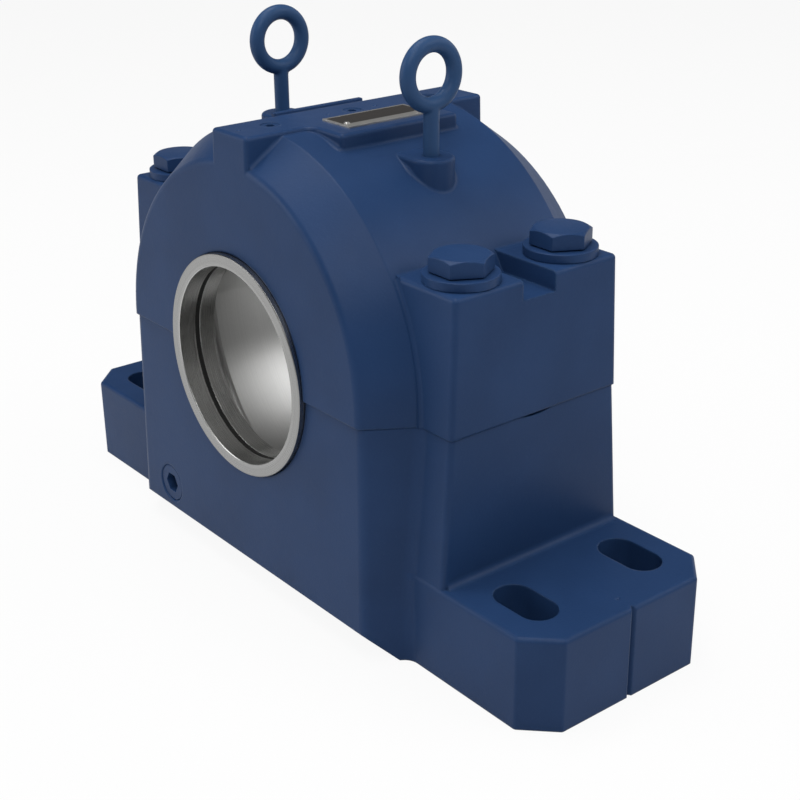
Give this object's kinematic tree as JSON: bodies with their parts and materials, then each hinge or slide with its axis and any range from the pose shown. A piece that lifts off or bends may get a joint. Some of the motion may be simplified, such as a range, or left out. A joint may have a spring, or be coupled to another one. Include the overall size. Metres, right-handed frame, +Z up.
{
  "type": "split plummer block",
  "caption": "Split cast plummer block: bored base with slotted feet, bolted cap with lifting eyes, turning labyrinth seal rings in both end walls.",
  "frame": {"origin": "middle of the underside, below the shaft axis", "axes": "+X from foot to foot towards the nameplate side, +Y along the shaft away from the drain plug's face, +Z up from the foot plane"},
  "size_m": [0.56, 0.215, 0.3905],
  "materials": {
    "housing_paint": "dark blue paint on cast iron, satin",
    "fastener_paint": "dark blue paint on steel, satin",
    "pin_steel": "ground",
    "plate_black": "black with bare border",
    "rivet_metal": "bare",
    "ring_steel": "turned",
    "cord_rubber": "matte"
  },
  "bodies": {
    "housing": {"housing_base": "housing_paint", "housing_cap": "housing_paint", "cap_bolt_front_right": "fastener_paint", "washer_front_right": "fastener_paint", "cap_bolt_rear_right": "fastener_paint", "washer_rear_right": "fastener_paint", "cap_bolt_front_left": "fastener_paint", "washer_front_left": "fastener_paint", "cap_bolt_rear_left": "fastener_paint", "washer_rear_left": "fastener_paint", "dowel_pin_right": "pin_steel", "eye_bolt_right": "fastener_paint", "dowel_pin_left": "pin_steel", "eye_bolt_left": "fastener_paint", "drain_plug": "fastener_paint", "top_plug_front": "fastener_paint", "top_plug_middle": "fastener_paint", "top_plug_rear": "fastener_paint", "nameplate": "plate_black", "nameplate_rivet_front": "rivet_metal", "nameplate_rivet_rear": "rivet_metal"},
    "front_seal": {"seal_ring_front": "ring_steel", "seal_cord_front": "cord_rubber"},
    "rear_seal": {"seal_ring_rear": "ring_steel", "seal_cord_rear": "cord_rubber"}
  },
  "joints": [
    {"name": "front_seal_spin", "type": "hinge", "parent": "housing", "child": "front_seal", "pos_m": [0, -0.0925, 0.168], "axis": [0, 1, 0], "continuous": true},
    {"name": "rear_seal_spin", "type": "hinge", "parent": "housing", "child": "rear_seal", "pos_m": [0, 0.0925, 0.168], "axis": [0, 1, 0], "continuous": true}
  ]
}
